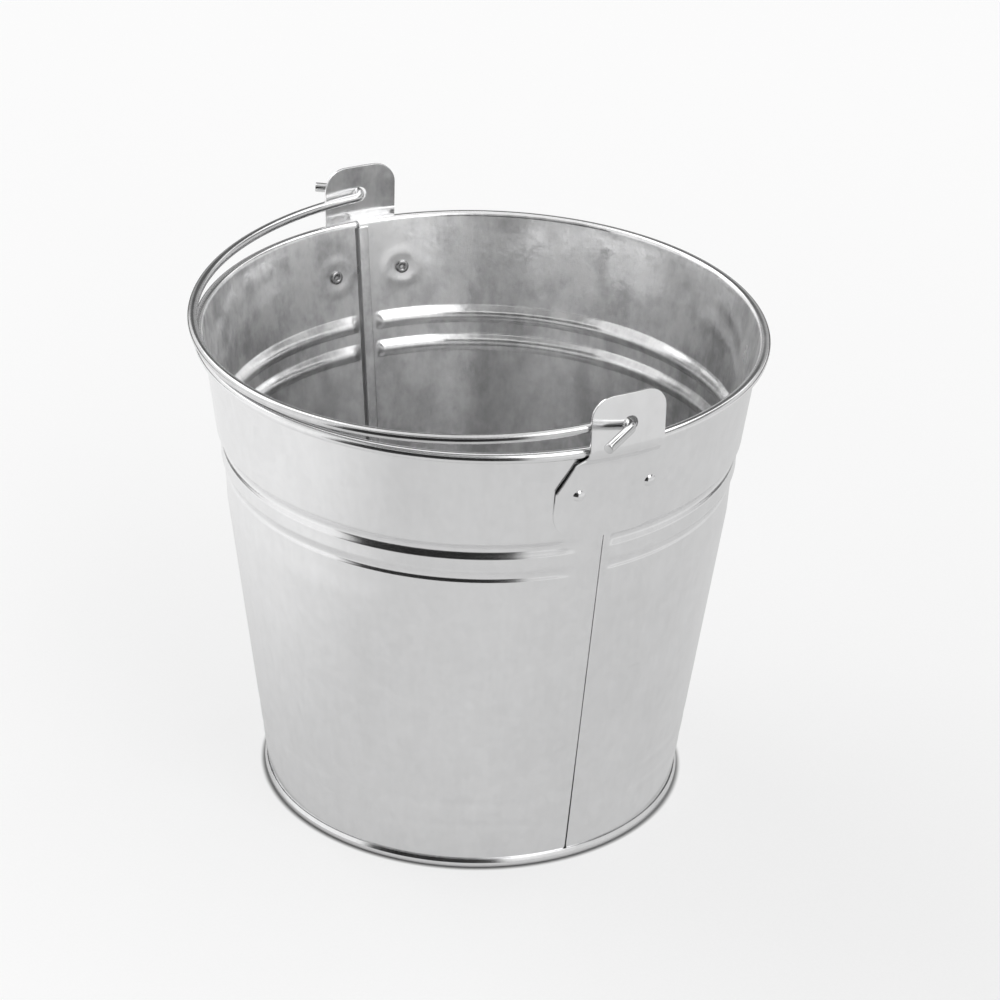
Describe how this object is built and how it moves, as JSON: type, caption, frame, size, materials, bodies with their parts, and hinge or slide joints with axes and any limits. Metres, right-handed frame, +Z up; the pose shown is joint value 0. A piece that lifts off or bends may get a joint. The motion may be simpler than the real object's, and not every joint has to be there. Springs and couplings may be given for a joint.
{
  "type": "bucket",
  "caption": "Small tapered galvanised flower bucket with a rolled rim, pressed beads, lock-seamed walls, riveted ears and a swinging wire bail handle.",
  "frame": {"origin": "centre of the foot plane, on the bucket's axis", "axes": "+Z up out of the mouth; the ears and the bail's pivot line lie along Y; the bail rests over the -X side of the rim"},
  "size_m": [0.2016, 0.2264, 0.1942],
  "materials": {
    "wall": "bright galvanised sheet, satin",
    "ear": "matte galvanised sheet",
    "rivet": "plain bright",
    "wire": "bright galvanised wire"
  },
  "bodies": {
    "bucket": {"wall_panel_left": "wall", "wall_panel_right": "wall", "bottom": "wall", "rim_wire": "wire", "ear_front": "ear", "ear_back": "ear", "rivet_front_left": "rivet", "rivet_front_right": "rivet", "rivet_back_left": "rivet", "rivet_back_right": "rivet"},
    "bail": {"handle": "wire"}
  },
  "joints": [
    {"name": "bail_swing", "type": "hinge", "parent": "bucket", "child": "bail", "pos_m": [0.0014, 0, 0.1831], "axis": [0, 1, 0], "range_deg": [-1, 190]}
  ]
}
